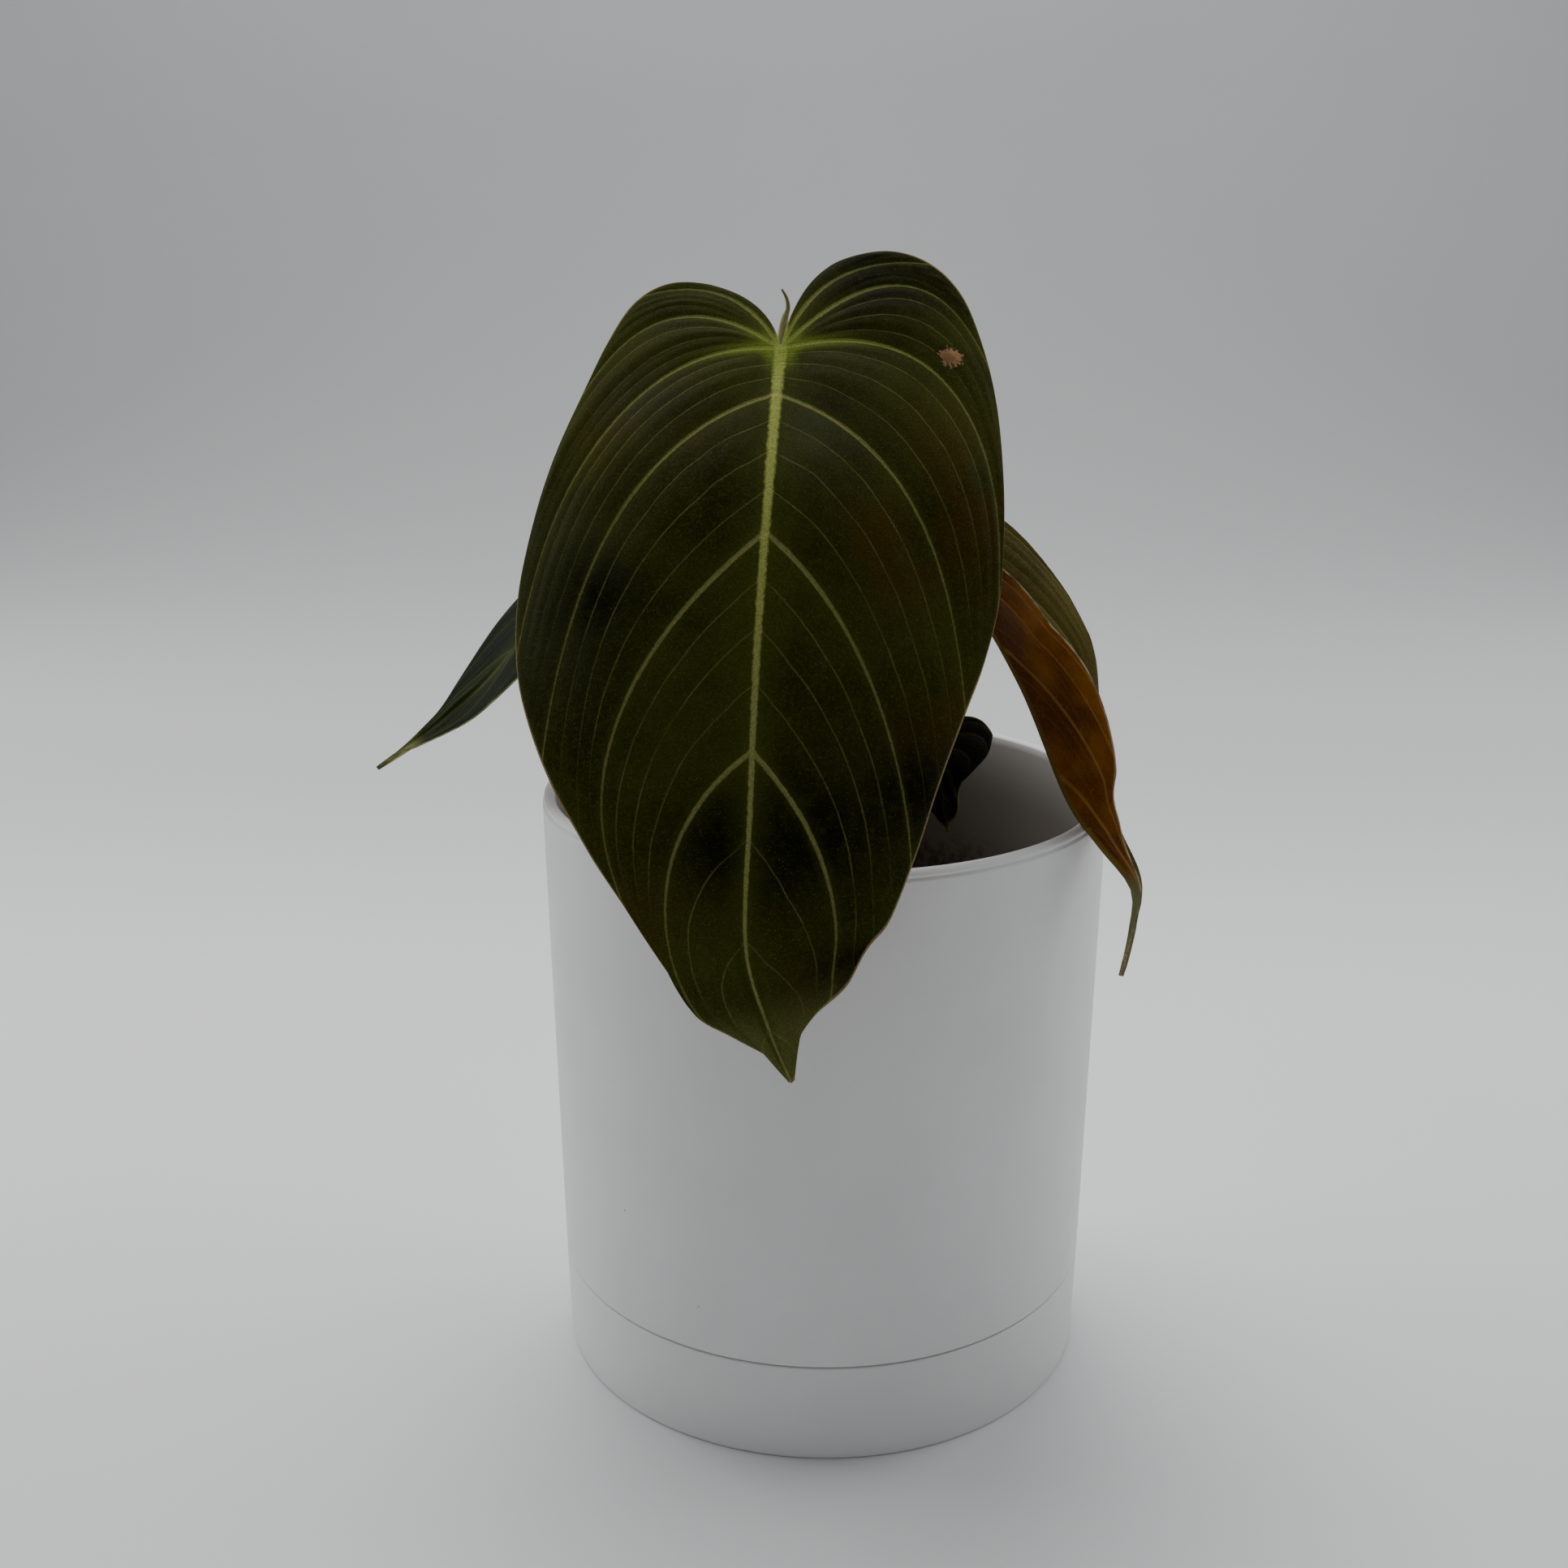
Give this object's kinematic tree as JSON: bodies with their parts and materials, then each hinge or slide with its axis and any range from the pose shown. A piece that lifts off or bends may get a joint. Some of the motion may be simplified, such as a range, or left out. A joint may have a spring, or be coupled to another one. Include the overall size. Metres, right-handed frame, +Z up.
{
  "type": "potted philodendron",
  "caption": "Velvet-leaved philodendron with pale ribbed heart-shaped leaves in a matte white pot that nests in its own saucer.",
  "frame": {"origin": "middle of the saucer's flat underside, on the pot's axis", "axes": "+Z up along the pot's axis, -Y towards the side that the largest leaf faces, +X to that side's right"},
  "size_m": [0.168, 0.1542, 0.2505],
  "materials": {
    "pot_plastic": "matte white",
    "potting_mix": "moist dark fibre and bark",
    "stem_bark": "satin green",
    "petiole_green": "satin green",
    "leaf_blade": "velvety dark green with pale veins",
    "young_leaf": "brownish green, rolled",
    "dried_sheath": "dry papery brown",
    "root_bark": "rough brown"
  },
  "bodies": {
    "root": {"saucer": "pot_plastic", "pot": "pot_plastic", "potting_mix": "potting_mix", "stem": "stem_bark", "leaf_front": "leaf_blade", "leaf_left": "leaf_blade", "leaf_right": "leaf_blade", "leaf_small": "leaf_blade", "petiole_front": "petiole_green", "petiole_left": "petiole_green", "petiole_right": "petiole_green", "petiole_small": "petiole_green", "new_leaf_spear": "young_leaf", "dried_sheath_low": "dried_sheath", "dried_sheath_high": "dried_sheath", "aerial_root_a": "root_bark", "aerial_root_b": "root_bark"}
  },
  "joints": []
}
